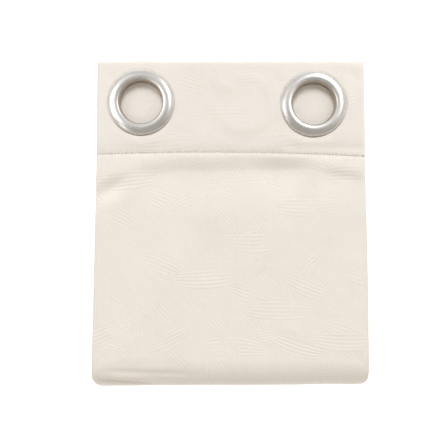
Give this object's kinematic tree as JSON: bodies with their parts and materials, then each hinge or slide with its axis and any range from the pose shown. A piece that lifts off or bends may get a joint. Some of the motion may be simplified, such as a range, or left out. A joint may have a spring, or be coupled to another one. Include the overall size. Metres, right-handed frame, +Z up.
{
  "type": "eyelet curtain",
  "caption": "Folded eyelet curtain: a cloth panel zigzagged across and halved lengthwise into a flat packet, with a stitched heading band and round metal eyelets for a pole.",
  "frame": {"origin": "middle of the flat back that the folded packet lies on", "axes": "+X across the packet to the right of its face, +Y from the bottom roll to the heading, +Z up out of the face"},
  "size_m": [0.279, 0.323, 0.0556],
  "materials": {
    "panel_cloth": "ivory tone-on-tone jacquard with a fine woven leaf pattern, matt with a slight sheen",
    "heading_cloth": "the same ivory jacquard turned over and stitched down double",
    "eyelet_metal": "satin nickel, softly reflecting"
  },
  "bodies": {
    "root": {"curtain_panel": "panel_cloth", "heading_band": "heading_cloth", "eyelet_1_front": "eyelet_metal", "eyelet_1_back": "eyelet_metal", "eyelet_2_front": "eyelet_metal", "eyelet_2_back": "eyelet_metal", "eyelet_3_front": "eyelet_metal", "eyelet_3_back": "eyelet_metal", "eyelet_4_front": "eyelet_metal", "eyelet_4_back": "eyelet_metal", "eyelet_5_front": "eyelet_metal", "eyelet_5_back": "eyelet_metal", "eyelet_6_front": "eyelet_metal", "eyelet_6_back": "eyelet_metal", "eyelet_7_front": "eyelet_metal", "eyelet_7_back": "eyelet_metal", "eyelet_8_front": "eyelet_metal", "eyelet_8_back": "eyelet_metal"}
  },
  "joints": []
}
